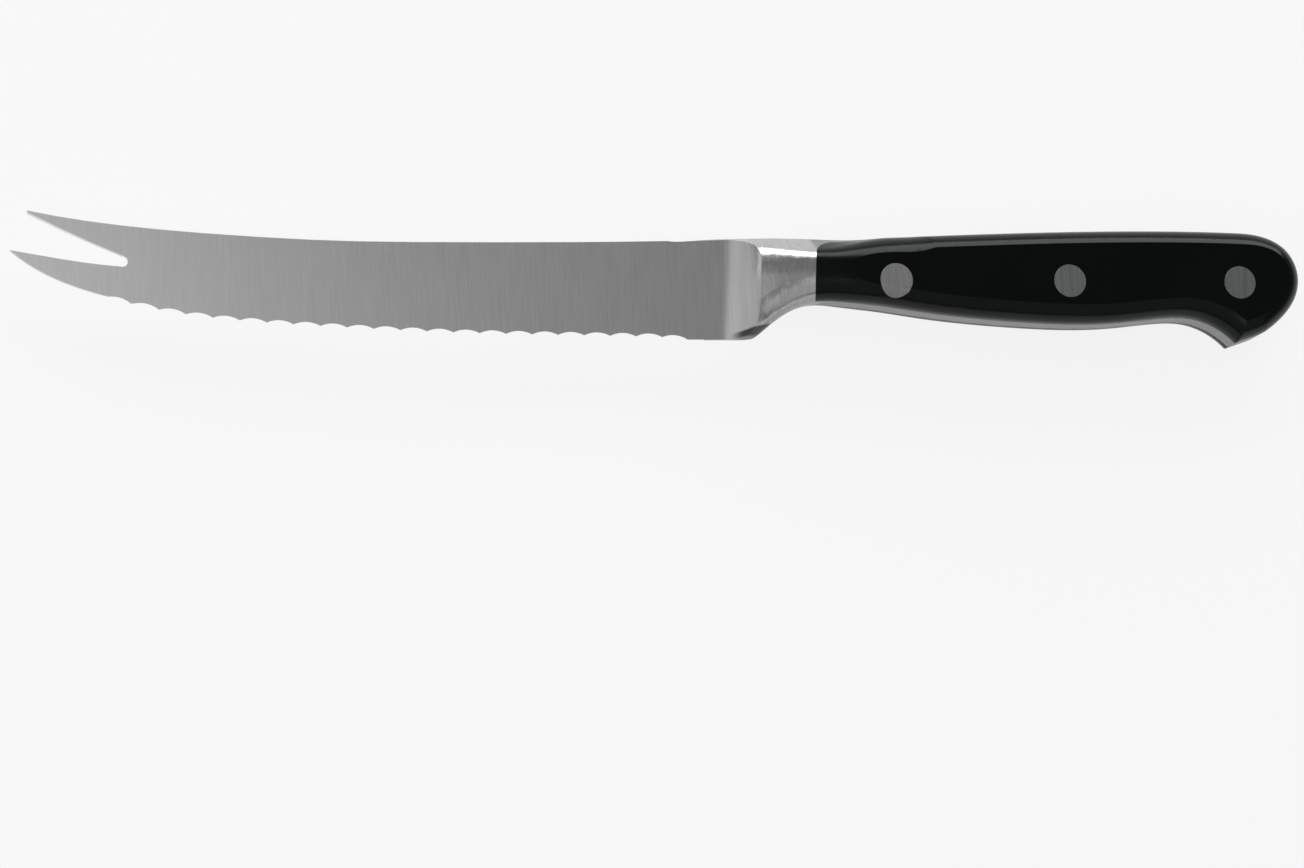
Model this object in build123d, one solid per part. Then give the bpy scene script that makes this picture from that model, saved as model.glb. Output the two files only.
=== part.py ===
from build123d import *
from math import atan, cos, degrees, radians, sin, tan
import os

os.makedirs("parts", exist_ok=True)

# Driving sizes, in millimetres and degrees.
# While the pieces are made, the heel corner of the blade is the origin, X runs towards the butt,
# Y towards the spine, and Z through the thickness, with the middle plane of the knife at Z = 0.
handle_thickness = 14.0
tang_thickness = 3.8
spine_thickness = 1.96
edge_thickness = 0.7
blade_height = 19.3
tip_thinning = 0.0032
tooth_count = 22
tooth_depth = 0.7
first_tooth_depth = 0.5
bevel_angle = 18.0
bevel_wheel_radius = 15.5
plunge_start = -4.75
plunge_lean = 5.3
plunge_radius = 7.5
plunge_sweep = 70.0
bolster_half_thickness = 4.5
bolster_taper = 7.5
bolster_blend_radius = 60.0
handle_crown = 0.27
handle_edge_radius = 4.6
joint_x = 12.6
joint_y = 10.0
joint_lean = 5.3
joint_draft = 16.0
joint_corner_radius = 2.7
joint_corner_start = 16.0
rivet_places = ((27.3, 10.1), (62.35, 9.7), (97.4, 9.2))
rivet_names = ("front", "middle", "rear")
rivet_head_diameter = 6.6
rivet_head_thickness = 1.6
rivet_barrel_diameter = 4.0
rivet_pin_diameter = 2.6
rivet_pin_gap = 1.0
rivet_rim_chamfer = 0.12

half = handle_thickness / 2
half_tang = tang_thickness / 2
half_spine = spine_thickness / 2
crown_height = half + handle_crown
beyond = 20.0

# Points shared by neighbouring outlines, seen from the side
upper_point = (-137.0, 25.3)
upper_point_end = (-136.75, 24.85)
notch_upper = (-119.6, 16.75)
notch_end = (-118.75, 15.75)
notch_lower = (-120.2, 14.75)
lower_point = (-140.3, 17.9)
first_tooth = (-123.05, 9.23)
last_tooth = (-17.97, 0.61)
heel_edge_start = (-12.83, 0)
heel_corner = (0, 0)
blade_end = (-16, 19.17)
butt_top = (98, 19.95)
beak_tip = (97.3, -2.0)


# Outline of the forked blade, from the bolster along the spine, around the fork and back along the edge
def blade_outline():
    """Plan outline of the blade, with the teeth still to be ground."""
    serrated = serrated_line()
    return make_face([
        Spline(blade_end, (-30, 19.03), (-48.5, 19.04), (-67.6, 19.17), (-82.7, 19.56),
               (-97.7, 20.44), (-112.5, 21.65), (-127.2, 23.47), upper_point),
        Line(upper_point, upper_point_end),
        Spline(upper_point_end, (-131.9, 22.4), (-126.1, 19.62), notch_upper),
        ThreePointArc(notch_upper, notch_end, notch_lower),
        Spline(notch_lower, (-126.4, 15.45), (-132.2, 16.4), lower_point),
        Spline(lower_point, (-136.5, 14.93), (-130.8, 11.93), first_tooth),
        serrated,
        Polyline(last_tooth, (blade_end[0], 0.38), blade_end),
    ])


def serrated_line():
    """Curve through the points of the teeth, starting at the tooth nearest the tip."""
    return Spline(first_tooth, (-113.27, 6.54), (-98.2, 4.43), (-78.24, 2.94), (-58.1, 1.83),
                  (-38, 1.18), last_tooth)


# Near half of the bolster and handle, made as one body that is later divided into steel and scale
def side_profile():
    """Region above the near side, in the XZ plane: the bolster widens evenly and runs into the grip."""
    taper = radians(bolster_taper)
    blend_rise = bolster_blend_radius * (1 - cos(taper))
    blend_x = (crown_height - blend_rise - bolster_half_thickness) / tan(taper)
    blend_start = (blend_x, crown_height - blend_rise)
    blend_end = (blend_x + bolster_blend_radius * sin(taper), crown_height)
    front_start = (-beyond, bolster_half_thickness)
    return make_face([
        Polyline(front_start, (0, bolster_half_thickness), blend_start),
        RadiusArc(blend_start, blend_end, bolster_blend_radius),
        Polyline(blend_end, (140, crown_height), (140, beyond), (-beyond, beyond), front_start),
    ])


def room_section(x, anchor_y, anchor_z, slope, radius):
    """Section left by the sloping facet along the top of the bolster and the rounding below it."""
    side = min(bolster_half_thickness + max(x, 0) * tan(radians(bolster_taper)), crown_height) + 0.02
    corner = anchor_y - slope * (side - anchor_z)
    outline = Polyline(
        (-beyond, -beyond), (-beyond, side), (corner, side), (anchor_y, anchor_z), (anchor_y, -beyond),
        close=True,
    )
    face = make_face(outline)
    face = fillet(face.vertices().sort_by_distance((corner, side, 0))[0], radius)
    return Plane(origin=(x, 0, 0), x_dir=(0, 1, 0), z_dir=(1, 0, 0)) * face


def near_half_body():
    """Near half of bolster and grip, with rounded edges and the facet along the top of the bolster."""
    top = Spline((-16, 22.6), (0, 21.6), (10, 20.6), (20, 19.5), (27, 19.22), (34, 19.42),
                 (46, 19.82), (58, 20.13), (71, 20.32), (88, 20.25), butt_top)
    butt = Spline(butt_top, (104.3, 19.08), (108.6, 16.6), (111.0, 11.2), (109.1, 5.1), (104.3, 0.7),
                  beak_tip, tangents=[top % 1, (-0.95, -0.3)])
    bottom = Spline(beak_tip, (93.9, 0.85), (89, 2.83), (83, 3.08), (74, 2.27), (66, 1.97),
                    (54.2, 2.48), (44.5, 3.3), (34.8, 4.49), (25.3, 5.97), (18, 6.8), (12.3, 6.95),
                    (8.6, 5.95), (3.7, 3.0), heel_corner)
    front = Polyline(heel_corner, (-16, 0), (-16, 22.6))
    body = Pos(0, 0, -8) * extrude(make_face([top, butt, bottom, front]), 8 + crown_height)
    body -= extrude(Plane.XZ * side_profile(), 60, both=True)
    rim = [
        edge for edge in body.edges()
        if edge.center().Z > 2 and abs(edge.tangent_at(0.5).Z) < 0.9
        and (abs(edge.tangent_at(0.5).Y) < 0.95 or edge.center().X > 100)
    ]
    body = fillet(rim, handle_edge_radius)
    room = loft([
        room_section(-16, 19.17, 1.0, 0.72, 6.0),
        room_section(-9, 19.36, 0.8, 0.72, 6.0),
        room_section(-2, 19.62, 0.7, 0.72, 5.8),
        room_section(5, 19.68, 0.7, 0.72, 4.8),
        room_section(12, 19.5, 0.7, 0.72, 3.8),
        room_section(20, 19.27, 0.7, 0.41, 5.0),
        room_section(27, 19.76, 0.7, 0.24, 5.6),
        room_section(34, 20.05, 0.7, 0.22, 5.4),
        room_section(41, 20.6, 0.7, 0.2, 5.2),
    ])
    outside = Pos(12.5, 0, half) * Box(57, 80, handle_thickness) - room
    body -= outside
    return body & Pos(50, 10, half / 2) * Box(200, 80, half)


near_body = near_half_body()


# Near half of the forging: the blade is ground flat and its hollow runs out into the bolster
def side_grinding():
    """Room taken off the near side by grinding, leaning so that the blade thins to its edge and tip."""
    sweep = radians(plunge_sweep)
    arc_end = (plunge_radius * sin(sweep), plunge_radius * (1 - cos(sweep)))
    profile = make_face([
        Line((-150, 0), (0, 0)),
        RadiusArc((0, 0), arc_end, -plunge_radius),
        Polyline(arc_end, (arc_end[0], beyond), (-150, beyond), (-150, 0)),
    ])
    cutter = Rot(0, 0, -plunge_lean) * extrude(Plane.XZ * profile, 60, both=True)
    lean = degrees(atan((half_spine - edge_thickness / 2) / blade_height))
    return Pos(plunge_start, blade_height, half_spine) * Rot(lean, -degrees(atan(tip_thinning)), 0) * cutter


def scale_room():
    """Room for the near scale: behind the bolster's drafted shoulder and above the tang."""
    radius = joint_corner_radius
    start = joint_corner_start - joint_y
    corner_end = (radius * (1 - cos(radians(80))), start + radius * sin(radians(80)))
    profile = make_face([
        Line((0, -60), (0, start)),
        RadiusArc((0, start), corner_end, radius),
        Polyline(corner_end, (corner_end[0], 60), (140, 60), (140, -60), (0, -60)),
    ])
    draft = radians(joint_draft)
    room = extrude(profile, beyond, dir=(-sin(draft), 0, cos(draft)))
    return Pos(joint_x, joint_y, half_tang) * Rot(0, 0, -joint_lean) * room


scale_space = scale_room()
near_forging = near_body + extrude(blade_outline(), 3) - side_grinding() - scale_space
left_scale = near_body & scale_space
right_scale = mirror(left_scale, about=Plane.XY)
blade = near_forging + mirror(near_forging, about=Plane.XY)


# Teeth: each gullet is ground from the far side by a wheel that leans against the blade
def left_face_height(x, y):
    """Height of the near side of the blade above the middle plane, where the sharp edge lies."""
    lean = (half_spine - edge_thickness / 2) / blade_height
    return half_spine - tip_thinning * (plunge_start - x) - lean * (blade_height - y)


def gullet_cutter(start, end, depth):
    """Wheel for one gullet between two tooth points, its rim reaching the near side at the given depth."""
    middle = (start + end) / 2
    along = (end - start).normalized()
    z_face = left_face_height(middle.X, middle.Y)
    lean = radians(bevel_angle)
    axis = Vector(0, cos(lean), -sin(lean))
    axis_point = Vector(0, depth, z_face) - Vector(0, sin(lean), cos(lean)) * bevel_wheel_radius
    wheel = Plane(origin=axis_point, z_dir=axis) * Cylinder(bevel_wheel_radius, 16)
    return Plane(origin=(middle.X, middle.Y, 0), x_dir=along, z_dir=(0, 0, 1)) * wheel


serration = serrated_line()
tooth_points = [serration.position_at(i / (tooth_count - 1)) for i in range(tooth_count)]
tooth_points.append(Vector(*heel_edge_start))
for i in range(tooth_count):
    depth = first_tooth_depth if i == 0 else tooth_depth
    blade -= gullet_cutter(tooth_points[i], tooth_points[i + 1], depth)
heel_bevel = extrude(
    Plane.YZ * make_face(Polyline((-3, 3 * tan(radians(bevel_angle))), (3, -3 * tan(radians(bevel_angle))),
                                  (3, -5), (-3, -5), close=True)),
    3.2,
)
blade -= Pos(heel_edge_start[0], 0, edge_thickness / 2) * heel_bevel

# Rivets: a barrel from the left side and a pin pressed into it from the right side
shank_end = -half + rivet_head_thickness
head_start = half - rivet_head_thickness
pin_end = head_start - rivet_pin_gap


def upright_cylinder(diameter, low, high):
    """Cylinder on the Z axis between two heights."""
    return Pos(0, 0, (low + high) / 2) * Cylinder(diameter / 2, high - low)


barrel_head = upright_cylinder(rivet_head_diameter, head_start, half)
barrel_blank = barrel_head + upright_cylinder(rivet_barrel_diameter, shank_end, head_start)
pin_head = upright_cylinder(rivet_head_diameter, -half, shank_end)
pin_shank = upright_cylinder(rivet_pin_diameter, shank_end, pin_end)
barrel = barrel_blank - pin_shank
barrel = chamfer(barrel.edges().filter_by(GeomType.CIRCLE).group_by(Axis.Z)[-1], rivet_rim_chamfer)
pin = pin_head + pin_shank
pin = chamfer(pin.edges().filter_by(GeomType.CIRCLE).group_by(Axis.Z)[0], rivet_rim_chamfer)
rivet_room = barrel_blank + pin_head

pieces = {"blade": blade, "left_scale": left_scale, "right_scale": right_scale}
for name, (x, y) in zip(rivet_names, rivet_places):
    hole = Pos(x, y, 0) * rivet_room
    pieces["blade"] -= hole
    pieces["left_scale"] -= hole
    pieces["right_scale"] -= hole
    pieces[name + "_rivet_barrel"] = Pos(x, y, 0) * barrel
    pieces[name + "_rivet_pin"] = Pos(x, y, 0) * pin

# The front rivet is ground flush with the rounded lower edge of the grip
grip_form = near_body + mirror(near_body, about=Plane.XY)
for name in ("front_rivet_barrel", "front_rivet_pin"):
    pieces[name] = pieces[name] & grip_form

# The knife lies on its right side, centred over the origin
box = Compound(children=[Pos(0, 0, 0) * piece for piece in pieces.values()]).bounding_box()
place = Pos(-(box.min.X + box.max.X) / 2, -(box.min.Y + box.max.Y) / 2, half)
for name, piece in pieces.items():
    export_step(place * piece, "parts/" + name + ".step")
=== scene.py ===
import math
import bpy
from mathutils import Matrix, Vector

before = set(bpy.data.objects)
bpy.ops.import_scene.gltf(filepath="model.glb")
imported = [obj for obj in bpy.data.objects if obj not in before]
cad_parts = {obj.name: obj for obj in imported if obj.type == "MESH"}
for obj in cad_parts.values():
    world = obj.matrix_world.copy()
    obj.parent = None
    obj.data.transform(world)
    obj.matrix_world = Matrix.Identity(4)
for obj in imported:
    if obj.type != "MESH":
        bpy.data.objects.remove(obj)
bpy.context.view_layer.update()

# Camera: the knife is seen from its left side, from a little beyond the tip and below the edge.
# The long lens stands about 0.77 m from the middle plane of the blade, which is 7 mm above the floor.
yaw, pitch, roll = math.radians(14.0), math.radians(9.8), math.radians(-3.25)
camera_target = Vector((-0.00628, -0.02965, 0.007))
camera_distance = 0.77
to_camera = Vector((-math.sin(yaw) * math.cos(pitch), -math.sin(pitch), math.cos(yaw) * math.cos(pitch)))
level_right = (-to_camera).cross(Vector((0, 1, 0))).normalized()
level_up = level_right.cross(-to_camera)
camera_right = math.cos(roll) * level_right + math.sin(roll) * level_up
camera_up = -math.sin(roll) * level_right + math.cos(roll) * level_up
turn = Matrix((camera_right, camera_up, to_camera)).transposed().to_4x4()
lens = bpy.data.cameras.new("camera_lens")
lens.sensor_fit = "HORIZONTAL"
lens.sensor_width = 36.0
lens.lens = 112.43
lens.clip_start = 0.01
camera = bpy.data.objects.new("camera", lens)
camera.matrix_world = Matrix.Translation(camera_target + to_camera * camera_distance) @ turn
bpy.context.scene.collection.objects.link(camera)
bpy.context.scene.camera = camera
bpy.context.scene.view_settings.view_transform = "Standard"

# Blade, bolster and tang: one piece of stainless steel, forged, then ground across its width with a fine
# belt, which leaves short lines from edge to spine. The bolster is polished brighter, and the rim of the
# tang is ground flush with the scales.


class Value:
    """A shader socket that takes part in sums and products, and adds the nodes they need."""

    def __init__(self, tree, socket):
        self.tree = tree
        self.socket = socket

    def make(self, node_type, settings=None, sockets=None, out=0):
        """Adds a node to the same tree, with its settings and then its sockets, and gives one output."""
        node = self.tree.nodes.new(node_type)
        for name, setting in (settings or {}).items():
            setattr(node, name, setting)
        for name, value in (sockets or {}).items():
            if isinstance(value, Value):
                value.into(node, name)
            else:
                node.inputs[name].default_value = value
        return Value(self.tree, node.outputs[out])

    def into(self, node, name):
        """Feeds this socket into an input of a node."""
        self.tree.links.new(self.socket, node.inputs[name])

    def maths(self, operation, other):
        return self.make("ShaderNodeMath", {"operation": operation}, {0: self, 1: other})

    def __add__(self, other):
        return self.maths("ADD", other)

    def __radd__(self, other):
        return self.maths("ADD", other)

    def __sub__(self, other):
        return self.maths("SUBTRACT", other)

    def __rsub__(self, other):
        return self.maths("MULTIPLY", -1.0).maths("ADD", other)

    def __mul__(self, other):
        return self.maths("MULTIPLY", other)

    def __rmul__(self, other):
        return self.maths("MULTIPLY", other)

    def axis(self, letter):
        """One coordinate of a place."""
        return self.make("ShaderNodeSeparateXYZ", sockets={"Vector": self}, out=letter)

    def step(self, low, high):
        """0 below low, 1 above high, smooth between."""
        return self.make("ShaderNodeMapRange", {"interpolation_type": "SMOOTHSTEP"},
                         {"Value": self, "From Min": low, "From Max": high})

    def band(self, rise, full, fall, end):
        """0 below rise, 1 from full to fall, 0 above end, smooth between."""
        return self.step(rise, full) * (1.0 - self.step(fall, end))

    def swing(self, depth):
        """Noise that runs from 0 to 1, centred on 0 and scaled to a depth."""
        return (self - 0.5) * depth

    def tinted(self, red=1.0, green=1.0, blue=1.0):
        """A colour of this brightness, with each part scaled."""
        parts = [self if part == 1.0 else self * part for part in (red, green, blue)]
        return self.make("ShaderNodeCombineColor", sockets=dict(enumerate(parts)))


def new_finish(name):
    """A material, its shader, and a Value on the shader's output from which other nodes are made."""
    finish = bpy.data.materials.new(name)
    finish.use_nodes = True
    shader = finish.node_tree.nodes["Principled BSDF"]
    return finish, shader, Value(finish.node_tree, shader.outputs[0])


def grind_lines(place, along_knife, across_knife, lean):
    """Noise drawn out into ground lines: its size along the knife and across it, in metres."""
    turned = place.make("ShaderNodeMapping", sockets={
        "Vector": place,
        "Rotation": (0.0, 0.0, math.radians(lean)),
        "Scale": (1.0 / along_knife, 1.0 / across_knife, 1.0 / across_knife)})
    return place.make("ShaderNodeTexNoise", sockets={
        "Vector": turned, "Scale": 1.0, "Detail": 2.0, "Roughness": 0.6})


def cover(name, finish):
    """Gives a piece of the knife this finish and no other."""
    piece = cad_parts[name]
    piece.data.materials.clear()
    piece.data.materials.append(finish)


steel, shader, surface = new_finish("ground_stainless_steel")
place = surface.make("ShaderNodeTexCoord", out="Object")
x, y = place.axis("X"), place.axis("Y")

# The polish starts at the curved end of the blade's grinding and stops at the shoulder of the tang. Both
# lines lean a little.
joint_lean = 0.09
bolster_front, bolster_blur = 0.0152, 0.0006
tang_front, tang_blur = 0.0271, 0.001
towards_butt = x + y * joint_lean
bolster = towards_butt.step(bolster_front - bolster_blur, bolster_front + bolster_blur)
tang = towards_butt.step(tang_front, tang_front + tang_blur)

# Each finish has its own tone and lines. The blade's lines run from edge to spine, and a painted shade
# makes its tone fall towards the grip. The bolster's lines are short, and the tang's rim has lines both
# ways.
blade_tone, painted_shade_fall = 0.695, 1.5
bolster_tone = 0.62
tang_tone = 0.36
fine = grind_lines(place, along_knife=0.00026, across_knife=0.009, lean=3.0)
broad = grind_lines(place, along_knife=0.0016, across_knife=0.05, lean=3.0)
short = grind_lines(place, along_knife=0.00018, across_knife=0.0018, lean=6.0)
lengthwise = grind_lines(place, along_knife=0.02, across_knife=0.00035, lean=0.0)
blade_shade = blade_tone - x * painted_shade_fall + fine.swing(0.19) + broad.swing(0.03)
bolster_shade = bolster_tone + short.swing(0.38) + broad.swing(0.02)
tang_shade = tang_tone + fine.swing(0.10) + lengthwise.swing(0.14)

# The side of the bolster carries a painted highlight along its middle, strongest just behind the blade,
# and a painted shade on the rounding over its lower edge, which climbs in a curve from the heel.
middle_painted_highlight, behind_blade_painted_highlight = 0.06, 0.16
middle = y.band(-0.0080, -0.0045, 0.0005, 0.0030)
behind_blade = x.band(0.0148, 0.0160, 0.0172, 0.0200)
bolster_shade = bolster_shade + middle * middle_painted_highlight + middle * behind_blade * behind_blade_painted_highlight
# Painted shade on the rounding over the lower edge of the bolster
heel_x, heel_y = 0.01464, -0.01165
edge_climb, edge_bend = 0.9166, 28.58
rounding_painted_shade = 0.66
from_heel = x - heel_x
above_edge = y - heel_y - from_heel * edge_climb + from_heel * from_heel * edge_bend
bolster_shade = bolster_shade * (rounding_painted_shade + above_edge.step(0.0009, 0.0020) * (1.0 - rounding_painted_shade))
shade = blade_shade + (bolster_shade - blade_shade) * bolster
shade = shade + (tang_shade - shade) * tang

# Painted shade: the hollow at the foot of the heel is painted as a dark wedge under a line that climbs
# towards the grip, and it is less dark along its own foot.
painted_shade_climb, foot_climb = 0.25, 0.12
foot_painted_shade, painted_shade_gain = 0.5, 0.36
painted_shade_reach = x.band(0.0095, 0.0125, 0.0180, 0.0195)
heel_painted_shade = (1.0 - (y - x * painted_shade_climb).step(-0.0135, -0.0130)) * painted_shade_reach
heel_painted_shade = heel_painted_shade * (foot_painted_shade + (y - x * foot_climb).step(-0.0131, -0.0126) * painted_shade_gain)
shade = shade * (1.0 - heel_painted_shade)
shade.tinted().into(shader, "Base Color")

ground_roughness, bolster_polish = 0.36, 0.11
roughness = ground_roughness + fine.swing(0.10) - bolster * (1.0 - tang) * bolster_polish
roughness.into(shader, "Roughness")
shader.inputs["Metallic"].default_value = 1.0

# The ground lines tilt the surface along the knife, and the side of the bolster leans towards the spine
# just under its facet, where it is slightly crowned.
line_tilt, crown_tilt = 0.03, 0.13
crown = y.band(-0.0004, 0.0018, 0.0018, 0.0030) * x.step(0.0140, 0.0165) * (1.0 - tang)
tilt = place.make("ShaderNodeCombineXYZ", sockets={"X": fine.swing(line_tilt), "Y": crown * crown_tilt})
facing = place.make("ShaderNodeNewGeometry", out="Normal")
facing = facing.make("ShaderNodeVectorMath", {"operation": "ADD"}, {0: facing, 1: tilt})
facing = facing.make("ShaderNodeVectorMath", {"operation": "NORMALIZE"}, {0: facing})
facing.into(shader, "Normal")
cover("blade", steel)

# Grip scales: two slabs of black acetal moulding, fixed to the tang and then ground and buffed with it,
# so that their edges run smoothly into the steel.
grip, shader, surface = new_finish("black_acetal")
place = surface.make("ShaderNodeTexCoord", out="Object")
cloud = surface.make("ShaderNodeTexNoise", sockets={"Vector": place, "Scale": 60.0, "Detail": 3.0})
speck = surface.make("ShaderNodeTexNoise", sockets={"Vector": place, "Scale": 2500.0, "Detail": 2.0})
black_tone = 0.0009
buffed_roughness = 0.21
dark = black_tone + cloud.swing(0.0008)
dark.tinted(green=1.35, blue=1.2).into(shader, "Base Color")
roughness = buffed_roughness + cloud.swing(0.04) + speck.swing(0.04)
roughness.into(shader, "Roughness")
shader.inputs["Specular IOR Level"].default_value = 0.25
shader.inputs["Specular Tint"].default_value = (0.86, 1.0, 0.97, 1.0)
relief = surface.make("ShaderNodeBump", sockets={"Strength": 0.05, "Distance": 0.00002, "Height": speck})
relief.into(shader, "Normal")
for name in ("left_scale", "right_scale"):
    cover(name, grip)

# Rivets: two-part stainless cutlery rivets, pressed together through the scales and tang and ground flush
# with the grip, which leaves fine scratches that run another way across each head.
for end, tone, red, lean in (
        ("front", 0.47, 0.98, 8.0),
        ("middle", 0.33, 0.96, 25.0),
        ("rear", 0.31, 0.93, 42.0)):
    rivet, shader, surface = new_finish(end + "_rivet_steel")
    place = surface.make("ShaderNodeTexCoord", out="Object")
    scratches = grind_lines(place, along_knife=0.00022, across_knife=0.012, lean=lean)
    shade = tone + scratches.swing(0.24)
    if end == "front":
        # The lower side of this head follows the rounded edge of the grip and carries a painted shade
        # there
        crease_lean, lower_side_painted_shade = 0.09, 0.8
        crease = place.axis("Y") + place.axis("X") * crease_lean
        shade = shade * (lower_side_painted_shade + crease.step(0.00085, 0.0011) * (1.0 - lower_side_painted_shade))
    shade.tinted(red=red, blue=0.98).into(shader, "Base Color")
    roughness = 0.42 + scratches.swing(0.12)
    roughness.into(shader, "Roughness")
    shader.inputs["Metallic"].default_value = 1.0
    relief = surface.make("ShaderNodeBump", sockets={
        "Strength": 0.1, "Distance": 0.00003, "Height": scratches})
    relief.into(shader, "Normal")
    for half in ("barrel", "pin"):
        cover(end + "_rivet_" + half, rivet)

# Floor: a plain sheet of white paper that the knife lies on. The camera sees it nearly white, with the
# knife's soft shadow, and the steel mirrors part of that white.
bpy.ops.object.select_all(action="DESELECT")
bpy.ops.mesh.primitive_plane_add(size=6.0, location=(0, 0, 0))
floor = bpy.context.object
floor.name = "floor"
paper, shader, surface = new_finish("white_paper")
shader.inputs["Base Color"].default_value = (0.86, 0.86, 0.86, 1.0)
shader.inputs["Roughness"].default_value = 0.9
shader.inputs["Specular IOR Level"].default_value = 0.0
seen_white, mirrored_white = 0.85, 0.45
camera_ray = surface.make("ShaderNodeLightPath", out="Is Camera Ray")
glossy_ray = surface.make("ShaderNodeLightPath", out="Is Glossy Ray")
transmission_ray = surface.make("ShaderNodeLightPath", out="Is Transmission Ray")
white_share = camera_ray * seen_white + (glossy_ray + transmission_ray) * mirrored_white
glow = surface.make("ShaderNodeEmission", sockets={"Color": (1, 1, 1, 1), "Strength": 1.0})
mixed = surface.make("ShaderNodeMixShader", sockets={0: white_share, 1: surface, 2: glow})
mixed.into(paper.node_tree.nodes["Material Output"], "Surface")
floor.data.materials.append(paper)

# Light: a dim, even room that the camera sees as pale, and four softboxes: beyond the spine for the bright
# line on the bolster, over the edge for the lower roundings, over the tip for the side of the blade, and
# beyond the tip for the curved end of the grinding.
room_light, room_seen = 0.16, 0.78
room = bpy.data.worlds.new("soft_room")
room.use_nodes = True
backdrop = room.node_tree.nodes["Background"]
backdrop.inputs["Color"].default_value = (1, 1, 1, 1)
camera_ray = Value(room.node_tree, backdrop.outputs[0]).make("ShaderNodeLightPath", out="Is Camera Ray")
strength = room_light + camera_ray * room_seen
strength.into(backdrop, "Strength")
bpy.context.scene.world = room


def softbox(name, at, aim, width, height, watts):
    """A rectangular lamp that faces the point it is aimed at."""
    panel = bpy.data.lights.new(name, "AREA")
    panel.shape = "RECTANGLE"
    panel.size = width
    panel.size_y = height
    panel.energy = watts
    lamp = bpy.data.objects.new(name, panel)
    towards = (Vector(aim) - Vector(at)).normalized()
    lamp.matrix_world = Matrix.Translation(at) @ towards.to_track_quat("-Z", "Y").to_matrix().to_4x4()
    bpy.context.scene.collection.objects.link(lamp)


softbox("spine_softbox", at=(0.1, 1.3, 0.58), aim=(0, 0, 0), width=3.0, height=0.7, watts=23.0)
softbox("edge_softbox", at=(0.0, -0.72, 0.72), aim=(0, 0, 0), width=2.4, height=1.3, watts=2.2)
softbox("tip_softbox", at=(-0.89, -0.22, 0.95), aim=(-0.89, -0.22, 0), width=1.74, height=0.84, watts=3.55)
softbox("side_softbox", at=(-1.7, -0.3, 0.5), aim=(0, -0.3, 0), width=1.4, height=1.0, watts=3.4)
